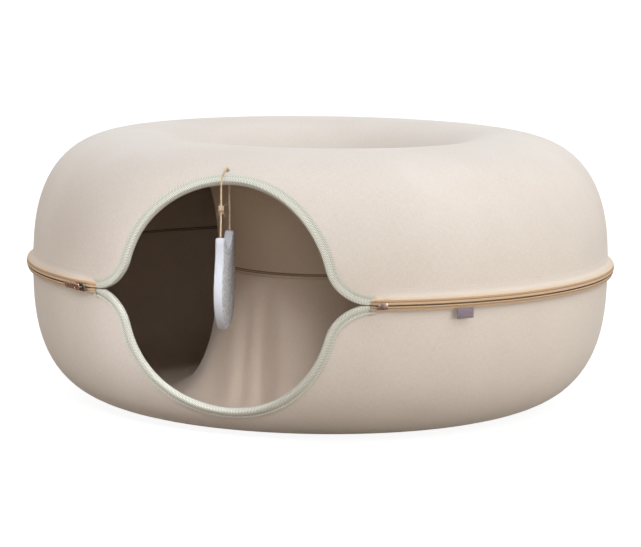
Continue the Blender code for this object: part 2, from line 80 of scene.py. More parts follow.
# The stops of its route, in mm.
TWINE_STOPS = [
    (-2.43, -283.85, 197.00), (-5.42, -275.01, 222.22), (-8.41, -266.16, 247.45),
    (-8.39, -253.05, 258.56), (-8.29, -249.89, 253.94), (-8.19, -246.79, 249.40),
    (-11.18, -237.94, 223.20), (-14.17, -229.10, 197.00),
]
TWINE_LENGTH, TWINE_WIDTH, ROUTE_SPACING = 138.5 * MM, 2.0 * MM, 0.42 * MM
PLY_RADIUS, PLY_OFFSET, PLY_TWIST = 0.58 * MM, 0.42 * MM, 4.6 * MM


def smooth_route(stops, spacing):
    """Points about spacing apart on a smooth curve through the stops."""
    stops = [Vector(stop) for stop in stops]
    ends = [2 * stops[0] - stops[1]] + stops + [2 * stops[-1] - stops[-2]]
    route = []
    for a, b, c, d in zip(ends, ends[1:], ends[2:], ends[3:]):
        count = max(1, round((c - b).length / spacing))
        for step in range(count):
            t = step / count
            route.append(0.5 * (2 * b + (c - a) * t + (2 * a - 5 * b + 4 * c - d) * t**2
                                + (3 * b - 3 * c + d - a) * t**3))
    return route + [stops[-1]]


def skin(name, rings, looped=False, across=None, along=None):
    """A closed mesh through rings of points, with faces pointing outwards.

    Looped takes the last ring back to the first; otherwise both ends are closed.
    Across and along are the UV lengths round a ring and from ring to ring.
    """
    rings = np.asarray(rings, float)
    count, size = rings.shape[:2]
    points = rings.reshape(-1, 3)
    across = np.arange(size + 1) if across is None else across
    along = np.arange(count + 1) if along is None else along
    faces, uvs = [], []
    for i in range(count if looped else count - 1):
        this, following = i * size, (i + 1) % count * size
        for j in range(size):
            beside = (j + 1) % size
            faces.append([this + j, this + beside, following + beside, following + j])
            uvs.append([(along[i], across[j]), (along[i], across[j + 1]),
                        (along[i + 1], across[j + 1]), (along[i + 1], across[j])])
    if not looped:
        for i, order in ((0, range(size - 1, -1, -1)), (count - 1, range(size))):
            faces.append([i * size + j for j in order])
            uvs.append([(along[i], across[j]) for j in order])
    volume = 0.0
    for face in faces:
        a = points[face[0]]
        for b, c in zip(face[1:], face[2:]):
            volume += np.dot(a, np.cross(points[b], points[c]))
    if volume < 0:
        faces = [face[::-1] for face in faces]
        uvs = [corner[::-1] for corner in uvs]
    mesh = bpy.data.meshes.new(name)
    mesh.from_pydata(points.tolist(), [], faces)
    layer = mesh.uv_layers.new(name="weave")
    layer.data.foreach_set("uv", [x for face in uvs for corner in face for x in corner])
    return linked(name, mesh)


def made_from(name, shape):
    """An object made from a bmesh, which is used up."""
    mesh = bpy.data.meshes.new(name)
    shape.to_mesh(mesh)
    shape.free()
    return linked(name, mesh)


def settle(piece):
    """Turns a piece's modifiers into plain mesh."""
    bpy.context.view_layer.update()
    graph = bpy.context.evaluated_depsgraph_get()
    plain = bpy.data.meshes.new_from_object(piece.evaluated_get(graph))
    piece.modifiers.clear()
    piece.data = plain
    return piece


def soften(piece, angle=35):
    """Smooth shading, with a crease wherever the surface turns by more than angle."""
    piece.data.shade_smooth()
    piece.data.set_sharp_from_angle(angle=radians(angle))
    return piece


def joined(name, pieces):
    """Several pieces made into one, in order; the first keeps its UV names."""
    merged = bmesh.new()
    for piece in pieces:
        merged.from_mesh(piece.data)
        bpy.data.objects.remove(piece)
    return made_from(name, merged)


def tube_along(name, route, radius_at_share, sides=6, offset=0.0, twist=None, phase=0.0):
    """A round tube on a route, or a ply that winds round the route at an offset."""
    rings, lengths = [], [0.0]
    side = None
    for i, point in enumerate(route):
        way = (route[min(i + 1, len(route) - 1)] - route[max(i - 1, 0)]).normalized()
        side = way.orthogonal() if side is None else side - way * side.dot(way)
        side.normalize()
        other = way.cross(side)
        if i:
            lengths.append(lengths[-1] + (point - route[i - 1]).length)
        turn = phase + (2 * pi * lengths[-1] / twist if twist else 0.0)
        middle = point + offset * (cos(turn) * side + sin(turn) * other)
        radius = radius_at_share(i / (len(route) - 1))
        rings.append([middle + radius * (cos(a) * side + sin(a) * other)
                      for a in (2 * pi * j / sides for j in range(sides))])
    girth = 2 * pi * radius_at_share(0.5)
    return skin(name, rings, across=[girth * j / sides for j in range(sides + 1)],
                along=lengths + lengths[-1:])


def tapered(root, tip):
    """A tube's radius by the share of its length, from its root to its tip."""
    return lambda share: root + (tip - root) * share


class Value:
    """A number in a material; arithmetic on it adds Math nodes."""

    def __init__(self, look, socket):
        self.look, self.socket = look, socket

    def math(self, operation, *others):
        return self.look.node("ShaderNodeMath", {"operation": operation}, self, *others)

    def math_after(self, operation, first):
        return self.look.node("ShaderNodeMath", {"operation": operation}, first, self)

    def __add__(self, other):
        return self.math("ADD", other)

    def __sub__(self, other):
        return self.math("SUBTRACT", other)

    def __mul__(self, other):
        return self.math("MULTIPLY", other)

    def __truediv__(self, other):
        return self.math("DIVIDE", other)

    def __rsub__(self, other):
        return self.math_after("SUBTRACT", other)

    def __rtruediv__(self, other):
        return self.math_after("DIVIDE", other)

    __radd__, __rmul__ = __add__, __mul__


class Wiring:
    """The nodes of a material or a world."""

    def __init__(self, tree):
        self.tree = tree

    def feed(self, socket, value):
        """Links a value to a socket, or sets the socket to a constant."""
        if isinstance(value, Value):
            self.tree.links.new(value.socket, socket)
        else:
            socket.default_value = value

    def node(self, kind, settings, *values, out=0, **named):
        """Adds a node: its settings first, then the values or links of its sockets.

        Values fill the first sockets in order, and named ones go by identifier.
        """
        made = self.tree.nodes.new(kind)
        for key, value in settings.items():
            setattr(made, key, value)
        by_name = {socket.identifier: socket for socket in made.inputs}
        for socket, value in zip(made.inputs, values):
            self.feed(socket, value)
        for identifier, value in named.items():
            self.feed(by_name[identifier], value)
        return Value(self, made.outputs[out])

    def mix(self, share, one, two):
        """Colour one where share is 0, colour two where it is 1."""
        return self.node("ShaderNodeMix", {"data_type": "RGBA"}, share, out=2,
                         A_Color=one, B_Color=two)


class Look(Wiring):
    """A material built up on its Principled shader."""

    def __init__(self, name, **constants):
        self.material = bpy.data.materials.new(name)
        self.material.use_nodes = True
        super().__init__(self.material.node_tree)
        self.shader = self.tree.nodes["Principled BSDF"]
        for socket, value in constants.items():
            self.feed(self.shader.inputs[socket.replace("_", " ")], value)

    def place(self):
        """The place on the piece, in metres."""
        return self.node("ShaderNodeTexCoord", {}, out=3)

    def weave_uv(self):
        """The lengths that a skin's UVs hold: along it in x, across it in y."""
        return self.node("ShaderNodeUVMap", {"uv_map": "weave"})

    def stretched(self, vector, scale):
        return self.node("ShaderNodeMapping", {}, Vector=vector, Scale=scale)

    def noise(self, vector, scale, detail=2.0, roughness=0.5):
        return self.node("ShaderNodeTexNoise", {}, Vector=vector, Scale=scale,
                         Detail=detail, Roughness=roughness)

    def split(self, vector):
        """The x, y and z of a vector."""
        parts = self.node("ShaderNodeSeparateXYZ", {}, vector).socket.node
        return [Value(self, output) for output in parts.outputs]

    def ramp(self, value, low, high, to_low=0.0, to_high=1.0):
        """Takes low to to_low and high to to_high, and holds at both."""
        return self.node("ShaderNodeMapRange", {"clamp": True}, value, low, high,
                         to_low, to_high)

    def colour(self, value):
        self.feed(self.shader.inputs["Base Color"], value)

    def relief(self, height, distance, strength=1.0):
        """Bumps as high as distance where height is 1."""
        bump = self.node("ShaderNodeBump", {}, Strength=strength, Distance=distance,
                         Height=height)
        self.feed(self.shader.inputs["Normal"], bump)

    def on(self, piece):
        """Covers a piece with this look alone."""
        piece.data.materials.clear()
        piece.data.materials.append(self.material)


def rgb(red, green, blue):
    """A screen colour, 0 to 255, as the light values that shaders use."""
    linear = [((c / 255 + 0.055) / 1.055) ** 2.4 for c in (red, green, blue)]
    return (*linear, 1.0)


jute = Look("jute_plies", Roughness=0.92, Sheen_Weight=0.25)
yarn = jute.noise(jute.stretched(jute.weave_uv(), (260.0, 2600.0, 1.0)), 1.0, 4.0)
blotch = jute.noise(jute.place(), 180.0, 3.0)
jute.colour(jute.mix(jute.ramp(yarn * 0.6 + blotch * 0.4, 0.36, 0.64),
                     rgb(172, 140, 104), rgb(232, 210, 178)))
jute.relief(yarn, 0.12 * MM)

stops = [Vector(stop) * MM for stop in TWINE_STOPS]
twine_route = smooth_route(stops, ROUTE_SPACING)
plies = [tube_along(f"ply_{i}", twine_route, lambda share: PLY_RADIUS, 6, PLY_OFFSET,
                    PLY_TWIST, pi * i) for i in range(2)]
twine = soften(joined("twine", plies), 60)
jute.on(twine)

# The knot, below the bound edge: three tight turns round the standing strand and
# one strand crossing them, with the twine's two cut ends frayed out of it.
KNOT_TURNS, KNOT_STEPS, KNOT_L = 3, 84, 4.6 * MM
KNOT_R, KNOT_BULGE = 1.75 * MM, 0.35 * MM
KNOT_PLY_RADIUS, KNOT_PLY_OFFSET = 0.5 * MM, 0.4 * MM
FRAY_COUNT, HAIR_COUNT = 26, 230
FRAY_RADII, HAIR_RADII = (0.11 * MM, 0.03 * MM), (0.06 * MM, 0.02 * MM)
knot_at = stops[1]
knot_way = (stops[1] - stops[0]).normalized()
knot_side = knot_way.orthogonal().normalized()
knot_other = knot_way.cross(knot_side)
turns = []
for step in range(KNOT_STEPS + 1):
    share = step / KNOT_STEPS
    turn = 2 * pi * KNOT_TURNS * share
    reach = KNOT_R + KNOT_BULGE * sin(pi * share)
    turns.append(knot_at + knot_way * ((share - 0.5) * KNOT_L)
                 + reach * (cos(turn) * knot_side + sin(turn) * knot_other))
crossing = [knot_at + knot_way * (-2.6 * MM) + knot_side * (2.0 * MM),
            knot_at + knot_side * (1.6 * MM) + knot_other * (2.35 * MM),
            knot_at + knot_way * (2.7 * MM) - knot_side * (1.9 * MM)]
strands = []
for i, path in enumerate((turns, smooth_route(crossing, 0.3 * MM))):
    for ply in range(2):
        strands.append(tube_along(f"knot_{i}_{ply}", path, lambda share: KNOT_PLY_RADIUS,
                                  6, KNOT_PLY_OFFSET, PLY_TWIST, pi * ply))
fibres = np.random.default_rng(7)
for i in range(FRAY_COUNT):
    lean = fibres.uniform(0, 2 * pi)
    out = cos(lean) * knot_side + sin(lean) * knot_other
    end = 1.0 if i % 2 else -1.0
    root = knot_at + knot_way * (end * 2.4 * MM) + out * (1.4 * MM)
    length = fibres.uniform(3.0, 7.5) * MM
    droop = Vector((0.0, 0.0, -1.0)) * length * fibres.uniform(0.1, 0.5)
    way = (out * fibres.uniform(0.5, 1.0) + knot_way * end * 0.7).normalized()
    path = smooth_route([root, root + way * length * 0.5 + droop * 0.2,
                         root + way * length + droop], length / 4)
    strands.append(tube_along(f"fray_{i}", path, tapered(*FRAY_RADII), 3))
knot = soften(joined("twine_knot_turns", strands), 60)
jute.on(knot)

hairs = []
for i in range(HAIR_COUNT):
    root = twine_route[fibres.integers(4, len(twine_route) - 4)]
    way = Vector(fibres.normal(size=3)).normalized()
    length = fibres.uniform(0.9, 2.6) * MM
    bend = Vector(fibres.normal(size=3)) * length * 0.25
    foot = root + way * (0.5 * MM)
    path = [foot, foot + way * length * 0.5 + bend * 0.3, foot + way * length + bend]
    hairs.append(tube_along(f"hair_{i}", path, tapered(*HAIR_RADII), 3))
fuzz = joined("twine_fuzz", hairs)
jute.on(fuzz)

for piece in (twine, knot, fuzz):
    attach(piece, "twine")
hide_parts("twine_loop")
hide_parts("twine_knot")


# The two half-rings. Each is moulded from 5 mm needled cream felt to a section squarer
# than a circle, and has the side opening cut square through it; the upper one has the
# twine's hole as well. The felt's inside is coloured darker and warmer than its outside:
# painted shade for the tunnel's dim inside.
UPPER, LOWER = 1, -1
RING_HEIGHT, ZIP_HEIGHT = 272.0 * MM, 139.0 * MM
FELT_T, RIM_SETBACK = 5.0 * MM, 4.0 * MM
PRESSED_T, PRESSED_W, PRESSED_FADE = 2.8 * MM, 12.0 * MM, 16.0 * MM
EQUATOR_R, WAIST_R, CREST_R = 293.5 * MM, 100.0 * MM, 183.5 * MM
BASE_OUTER_R, BASE_INNER_R = 178.0 * MM, 156.0 * MM
OPENING_R, OPENING_RISE, CORNER_X = 102.0 * MM, 6.0 * MM, 140.5 * MM
CUT_REACH, PLUG_FRONT_Y, PLUG_BACK_Y = 14.0 * MM, -360.0 * MM, -235.0 * MM
HOLE_AT, HOLE_R = Vector((-8.34, -251.3, 256.0)) * MM, 2.3 * MM
HOLE_AXIS = Vector((-0.0187, -0.5644, 0.8253))
PUNCH_REACH, GRAIN_R = 12.0 * MM, 240.0 * MM
RING_STEPS, OUTER_SPANS, INNER_SPANS = 192, 22, 16
# How finely the opening's edge is followed: steps along a fillet and along the arc.
PLUG_STEPS, WALL_STEPS, WEB_STEPS = (16, 72), (16, 60), (22, 110)

# Each half's outer and inner quarter: radius at the zip, radius at the crest or
# base, height between them, and the power of its rounding.
QUARTERS = {
    (UPPER, True): (EQUATOR_R, CREST_R, RING_HEIGHT - ZIP_HEIGHT, 2.61),
    (UPPER, False): (WAIST_R, CREST_R, RING_HEIGHT - ZIP_HEIGHT, 2.51),
    (LOWER, True): (EQUATOR_R, BASE_OUTER_R, ZIP_HEIGHT, 2.70),
    (LOWER, False): (WAIST_R, BASE_INNER_R, ZIP_HEIGHT, 2.30),
}


def felt_section(half, outer, spans):
    """Radius, rise and normal along one quarter of the felt's outside, from its rim."""
    end, middle, height, power = QUARTERS[half, outer]
    first = asin((RIM_SETBACK / height) ** (power / 2))
    points = []
    for step in range(spans + 1):
        turn = first + (pi / 2 - first) * step / spans
        c, s = max(cos(turn), 0.0) ** (2 / power), sin(turn) ** (2 / power)
        normal = Vector((c ** (power - 1) / (end - middle), s ** (power - 1) / height))
        normal.normalize()
        points.append((middle + (end - middle) * c, height * s, *normal))
    return points


def felt_radius(half, share):
    """Radius and slope of the felt's outside at a share of the half's height."""
    end, middle, height, power = QUARTERS[half, True]
    inside = 1 - share**power
    radius = middle + (end - middle) * inside ** (1 / power)
    slope = -(end - middle) / height * share ** (power - 1) * inside ** (1 / power - 1)
    return radius, slope


def felt_point(half, x, rise):
    """The felt's outside at an x and a rise on the opening's side, and its normal."""
    radius, slope = felt_radius(half, rise / QUARTERS[half, True][2])
    point = Vector((x, -sqrt(radius**2 - x**2), ZIP_HEIGHT + half * rise))
    return point, Vector((x / radius, point.y / radius, -half * slope)).normalized()


def opening_edge(fillet_steps, arc_steps):
    """The cut edge, corner to corner: an arc run out to the zip line by two fillets."""
    fillet = ((CORNER_X**2 + OPENING_RISE**2 - OPENING_R**2)
              / (2 * (OPENING_R + OPENING_RISE)))
    lean = atan2(fillet - OPENING_RISE, CORNER_X)
    points = []
    for step in range(fillet_steps):
        turn = -pi / 2 + (pi / 2 - lean) * step / fillet_steps
        points.append((-CORNER_X + fillet * cos(turn), fillet + fillet * sin(turn)))
    for step in range(arc_steps + 1):
        turn = pi - lean - (pi - 2 * lean) * step / arc_steps
        points.append((OPENING_R * cos(turn), OPENING_RISE + OPENING_R * sin(turn)))
    return points + [(-x, h) for x, h in points[fillet_steps - 1::-1]]


def edge_frames(half, fillet_steps, arc_steps):
    """Point, outward normal and direction away from the hole, along the cut edge."""
    seats = [felt_point(half, x, max(h, 0.01 * MM))
             for x, h in opening_edge(fillet_steps, arc_steps)]
    frames = []
    for i, (point, normal) in enumerate(seats):
        before, after = seats[max(i - 1, 0)][0], seats[min(i + 1, len(seats) - 1)][0]
        away = half * normal.cross(after - before).normalized()
        if i in (0, len(seats) - 1):
            away = Vector((0.0, 0.0, float(half)))
        frames.append((point, normal, away))
    return frames


def opening_plug(half):
    """A cutter for the opening, its walls square to the felt."""
    walls = [(point, normal) for point, normal, _ in edge_frames(half, *PLUG_STEPS)]
    for point, normal in (walls[-1], walls[0]):
        foot = Vector((point.x, point.y, ZIP_HEIGHT - half * CUT_REACH))
        walls.append((foot, Vector((normal.x, normal.y, 0.0)).normalized()))
    rings = [[], [], [], []]
    for point, normal in walls:
        out, back = point + CUT_REACH * normal, point - CUT_REACH * normal
        rings[0].append((out.x, PLUG_FRONT_Y, out.z))
        rings[1].append(out)
        rings[2].append(back)
        rings[3].append((back.x, PLUG_BACK_Y, back.z))
    return skin("opening_plug", rings)


def eased(share):
    """A share from 0 to 1, with a soft start and a soft end."""
    return share**2 * (3 - 2 * share)


def wall_at(half, points):
    """The felt's thickness at points: thin where the opening's binding clamps it."""
    edge = np.array([point for point, _, _ in edge_frames(half, *WALL_STEPS)])
    reach = np.array([np.sqrt(((edge - point) ** 2).sum(1)).min() for point in points])
    order = np.argsort(edge[:, 0])
    brow = np.interp(points[:, 0], edge[order, 0], half * (edge[order, 2] - ZIP_HEIGHT))
    rise = half * (points[:, 2] - ZIP_HEIGHT)
    inside = (points[:, 1] < 0) & (abs(points[:, 0]) < CORNER_X) & (rise < brow)
    share = np.clip((np.where(inside, 0.0, reach) - PRESSED_W) / PRESSED_FADE, 0.0, 1.0)
    return PRESSED_T + (FELT_T - PRESSED_T) * eased(share)


def cut(piece, cutter):
    """Cuts a closed cutter out of a piece, and uses the cutter up."""
    step = piece.modifiers.new("cut", "BOOLEAN")
    step.solver, step.operation, step.object = "EXACT", "DIFFERENCE", cutter
    settle(piece)
    bpy.data.objects.remove(cutter)


felt = Look("cream_felt", Roughness=0.95, Sheen_Weight=0.3, Sheen_Roughness=0.45,
            Sheen_Tint=(1.0, 0.96, 0.9, 1.0))
grain_uv = felt.weave_uv()
round_grain = felt.noise(felt.stretched(grain_uv, (220.0, 1300.0, 1.0)), 1.0, 3.0)
cross_grain = felt.noise(felt.stretched(grain_uv, (1300.0, 220.0, 1.0)), 1.0, 3.0)
nap = felt.noise(felt.place(), 900.0, 4.0, 0.7)
mottle = felt.noise(felt.place(), 9.0, 3.0, 0.6)
grain = round_grain * 0.38 + cross_grain * 0.38 + nap * 0.24
tone = felt.ramp(grain * 0.7 + mottle * 0.3, 0.40, 0.60)
outside = felt.mix(tone, rgb(214, 202, 190), rgb(227, 216, 206))
# Painted shade: the inner skin is the same felt, coloured darker and warmer.
painted_inside_shade = felt.mix(tone, rgb(206, 186, 166), rgb(219, 201, 183))
_, girth, _ = felt.split(grain_uv)
felt.colour(felt.mix(felt.ramp(girth, -1 * MM, 0.0, 1.0, 0.0), outside, painted_inside_shade))
felt.relief(grain, 0.3 * MM, 0.5)

for half, side in ((UPPER, "upper"), (LOWER, "lower")):
    outer = felt_section(half, True, OUTER_SPANS)
    inner = felt_section(half, False, INNER_SPANS)
    # The quarters share the upper half's crest; the lower half's flat base parts them.
    line = np.array(outer + inner[::-1] if half == LOWER else outer + inner[-2::-1])
    walls = line[:, :2] - FELT_T * line[:, 2:]
    lengths = [0.0]
    profile = [*line[:, :2], *walls[::-1]]
    for a, b in zip(profile, profile[1:] + profile[:1]):
        lengths.append(lengths[-1] + hypot(*(b - a)))
    rings = []
    for step in range(RING_STEPS):
        turn = 2 * pi * (step + 0.5) / RING_STEPS
        ways = np.array([(cos(turn), sin(turn), 0.0), (0.0, 0.0, float(half))])
        skin_points = line[:, :2] @ ways + (0.0, 0.0, ZIP_HEIGHT)
        thick = wall_at(half, skin_points)
        thick[len(outer):] = FELT_T
        inside_points = skin_points - thick[:, None] * (line[:, 2:] @ ways)
        rings.append([*skin_points, *inside_points[::-1]])
    # The inner skin's lengths run below zero, so that the felt can tell it apart.
    lengths = [-n if i >= len(line) else n for i, n in enumerate(lengths)]
    round_way = [2 * pi * GRAIN_R * i / RING_STEPS for i in range(RING_STEPS + 1)]
    shell = skin(f"felt_{side}", rings, True, lengths, round_way)
    cut(shell, opening_plug(half))
    if half == UPPER:
        punch_line = [HOLE_AT + HOLE_AXIS * PUNCH_REACH, HOLE_AT - HOLE_AXIS * PUNCH_REACH]
        cut(shell, tube_along("hole_punch", punch_line, lambda share: HOLE_R, 24))
    soften(shell)
    felt.on(shell)
    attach(shell, f"{side}_half")
    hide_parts(f"{side}_shell")


# The bound edges. Sage herringbone webbing, 9 mm wide when folded, wraps the cut
# edge of each half from corner to corner, pressing the felt thin, and is sewn
# through both leaves: a rounded roll inside the stitches, a flat rim outside.
CHEVRON_PITCH, COLUMN_W, YARN_PITCH = 1.55 * MM, 2.6 * MM, 0.55 * MM
STITCH_AWAY, STITCH_GIRTH, RIM_GIRTH = 5.4 * MM, 3.65 * MM, 1.1 * MM
STITCH_OFFS, STITCHES_START = (0.72 * MM, -3.52 * MM), 12.0 * MM
FOLD_REACH, FOLD_MIDDLE, FOLD_HALF_T = 1.25, -1.4, 3.0
BLOCK_SIDE, BLOCK_GAP = 700.0 * MM, 0.5 * MM


def boxy(value):
    """A sine or cosine pushed outwards, which squares up the round it draws."""
    return copysign(abs(value) ** 0.7, value)


def lay_on(half, point, off):
    """Moves a point onto the felt's outside near it, then off it along its normal."""
    foot = point.copy()
    for _ in range(5):
        radius = hypot(foot.x, foot.y)
        share = half * (foot.z - ZIP_HEIGHT) / QUARTERS[half, True][2]
        here, slope = felt_radius(half, min(max(share, 1e-4), 0.999))
        normal = Vector((foot.x / radius, foot.y / radius, -half * slope)).normalized()
        foot -= normal * ((radius - here) / sqrt(1 + slope**2))
    return foot + normal * off


webbing = Look("sage_webbing", Roughness=0.9, Sheen_Weight=0.2)
along, over, _ = webbing.split(webbing.weave_uv())
column = (over / COLUMN_W).math("PINGPONG", 1.0)
chevron = ((along / CHEVRON_PITCH + column * 0.9) * (2 * pi)).math("SINE") * 0.5 + 0.5
threads = ((along / YARN_PITCH) * (2 * pi)).math("SINE") * 0.5 + 0.5
spine = webbing.ramp(column, 0.0, 0.12, 1.0, 0.0)
fluff = webbing.noise(webbing.place(), 1100.0, 3.0)
web_height = chevron * 0.65 + threads * 0.15 + fluff * 0.2 - spine * 0.3
sage = webbing.mix(webbing.ramp(web_height, 0.15, 0.75), rgb(158, 157, 141),
                   rgb(240, 238, 226))
# Painted shade: a contact shadow painted along the webbing's outer rim where it meets the
# felt, and shade painted in the stitch groove beside the roll.
painted_rim_shadow = webbing.ramp(over, 0.4 * MM, RIM_GIRTH, 0.75, 0.0)
from_stitches = (over - STITCH_GIRTH).math("ABSOLUTE")
painted_groove_shade = webbing.ramp(from_stitches, 0.1 * MM, 0.5 * MM, 0.4, 0.0)
webbing.colour(webbing.mix(painted_rim_shadow.math("MAXIMUM", painted_groove_shade), sage,
                           rgb(140, 126, 108)))
webbing.relief(web_height, 0.3 * MM, 0.8)

# The webbing's section, in mm: away from the cut edge, and off the felt's outside.
# Its girth is counted from the rim.
leaf = [(8.0, 0.3), (8.2, 0.7), (8.05, 1.15), (7.6, 1.25), (6.4, 0.95), (5.4, 0.7),
        (4.8, 0.95), (3.8, 1.5), (2.4, 1.8), (1.0, 1.75)]
fold = [(-FOLD_REACH * boxy(cos(a)), FOLD_MIDDLE + FOLD_HALF_T * boxy(sin(a)))
        for a in (radians(80 - 16 * i) for i in range(11))]
rear = [(s, 2 * FOLD_MIDDLE - n) for s, n in leaf[::-1]]
inside_leaf = [(7.98, -3.08), (-0.25, -3.08), (-0.25, 0.28)]
webbing_loop = [(s * MM, n * MM) for s, n in leaf + fold + rear + inside_leaf]
webbing_girth = [0.0]
for (s, n), (t, m) in zip(webbing_loop, webbing_loop[1:] + webbing_loop[:1]):
    webbing_girth.append(webbing_girth[-1] + hypot(t - s, m - n))
for half, side in ((UPPER, "upper"), (LOWER, "lower")):
    frames = edge_frames(half, *WEB_STEPS)
    lengths = [0.0]
    for (a, _, _), (b, _, _) in zip(frames, frames[1:]):
        lengths.append(lengths[-1] + (b - a).length)
    rings = [[lay_on(half, point + s * away, n) for s, n in webbing_loop]
             for point, _, away in frames]
    bound = skin(f"binding_{side}", rings, False, webbing_girth, lengths + lengths[-1:])
    # A block cuts the webbing off just short of the zip line.
    block = bmesh.new()
    bmesh.ops.create_cube(block, size=BLOCK_SIDE)
    middle = ZIP_HEIGHT - half * (BLOCK_SIDE / 2 - BLOCK_GAP)
    bmesh.ops.translate(block, verts=block.verts, vec=(0.0, -EQUATOR_R, middle))
    cut(bound, made_from("past_the_zip", block))
    soften(bound, 50)
    webbing.on(bound)
    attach(bound, f"{side}_half")
    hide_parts(f"{side}_binding")

# The thread in the bindings: lockstitches 2.7 mm long in the groove beside the
# roll, on both leaves.
STITCH_PITCH, STITCH_SHARE, THREAD_R = 3.4 * MM, 0.8, 0.24 * MM


def repeat_tree(name):
    """Geometry nodes that set a piece down at equal steps along a line."""
    tree = bpy.data.node_groups.new(name, "GeometryNodeTree")
    for label, kind in (("Line", "NodeSocketGeometry"), ("Item", "NodeSocketObject"),
                        ("Pitch", "NodeSocketFloat"), ("Finish", "NodeSocketMaterial")):
        tree.interface.new_socket(label, in_out="INPUT", socket_type=kind)
    tree.interface.new_socket("Result", in_out="OUTPUT", socket_type="NodeSocketGeometry")
    given = tree.nodes.new("NodeGroupInput")
    curve = tree.nodes.new("GeometryNodeMeshToCurve")
    points = tree.nodes.new("GeometryNodeCurveToPoints")
    points.mode = "LENGTH"
    item = tree.nodes.new("GeometryNodeObjectInfo")
    copies = tree.nodes.new("GeometryNodeInstanceOnPoints")
    real = tree.nodes.new("GeometryNodeRealizeInstances")
    coat = tree.nodes.new("GeometryNodeSetMaterial")
    result = tree.nodes.new("NodeGroupOutput")
    for one, two in (
        (given.outputs["Line"], curve.inputs["Mesh"]),
        (curve.outputs["Curve"], points.inputs["Curve"]),
        (given.outputs["Pitch"], points.inputs["Length"]),
        (given.outputs["Item"], item.inputs["Object"]),
        (points.outputs["Points"], copies.inputs["Points"]),
        (points.outputs["Rotation"], copies.inputs["Rotation"]),
        (item.outputs["Geometry"], copies.inputs["Instance"]),
        (copies.outputs["Instances"], real.inputs["Geometry"]),
        (real.outputs["Geometry"], coat.inputs["Geometry"]),
        (given.outputs["Finish"], coat.inputs["Material"]),
        (coat.outputs["Geometry"], result.inputs["Result"]),
    ):
        tree.links.new(one, two)
    return tree


def repeated(name, tree, lines, item, pitch, look):
    """Copies of an item at a pitch along each line of points, as one plain mesh."""
    mesh = bpy.data.meshes.new(name)
    points, edges = [], []
    for line in lines:
        edges += [(len(points) + i, len(points) + i + 1) for i in range(len(line) - 1)]
        points += [tuple(point) for point in line]
    mesh.from_pydata(points, edges, [])
    piece = linked(name, mesh)
    step = piece.modifiers.new("repeat", "NODES")
    step.node_group = tree
    for socket in tree.interface.items_tree:
        value = {"Item": item, "Pitch": pitch, "Finish": look.material}.get(socket.name)
        if value is not None:
            step[socket.identifier] = value
    settle(piece)
    return soften(piece, 60)


thread = Look("sage_thread", Roughness=0.75)
thread_twist = thread.noise(thread.place(), 2600.0, 2.0)
thread.colour(thread.mix(thread.ramp(thread_twist, 0.35, 0.65),
                         rgb(186, 184, 160), rgb(224, 222, 206)))
thread.relief(thread_twist, 0.05 * MM)
repeats = repeat_tree("set_along_a_line")
half_stitch = STITCH_PITCH * STITCH_SHARE / 2
stitch_line = [Vector((0.0, 0.0, z)) for z in np.linspace(-half_stitch, half_stitch, 6)]
stitch = tube_along("stitch", stitch_line,
                    lambda share: THREAD_R * (1 - abs(2 * share - 1) ** 3 * 0.6), 6)
for half, side in ((UPPER, "upper"), (LOWER, "lower")):
    lines = []
    for off in STITCH_OFFS:
        line = [lay_on(half, point + STITCH_AWAY * away, off)
                for point, _, away in edge_frames(half, *WEB_STEPS)]
        lines.append([p for p in line if half * (p.z - ZIP_HEIGHT) > STITCHES_START])
    sewn = repeated(f"binding_stitches_{side}", repeats, lines, stitch, STITCH_PITCH,
                    thread)
    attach(sewn, f"{side}_half")
bpy.data.objects.remove(stitch)


# The zips, one round the outside and one round the waist. On each half the felt is
# turned out and sewn to a camel tape, whose lip stands proud of the ring; a nylon
# coil is sewn behind the lip, and a thin facing behind that.
LIP_STAND, TAPE_T, COIL_GAP, COIL_T = 6.5 * MM, 1.2 * MM, 0.5 * MM, 1.8 * MM
COIL_RISE, TOOTH_PITCH = 1.68 * MM, 1.25 * MM
TOOTH_HALF_T, TOOTH_HALF_H, TOOTH_LEAN = 0.62 * MM, 1.04 * MM, 0.22 * MM
TOOTH_STEPS, WIRE_STEPS, WIRE_R = 8, 4, 0.27 * MM

# Each zip's name, the radius of its lips, 1 where they face away from the axis and
# -1 where they face it, the angles of its ends in degrees, and the steps between.
OUTER_ZIP = ("outer_zip", EQUATOR_R + LIP_STAND, 1, 298.7, 601.3, 320)
WAIST_ZIP = ("waist_zip", WAIST_R - LIP_STAND, -1, 94.9, 445.1, 160)
# At a zip's ends, the coils leave room for the box and the stops, and the felt's rim
# takes a longer run to rise.
BOX_RUN, STOP_RUN, RIM_RUN = 9.3 * MM, 3.3 * MM, 18.0 * MM

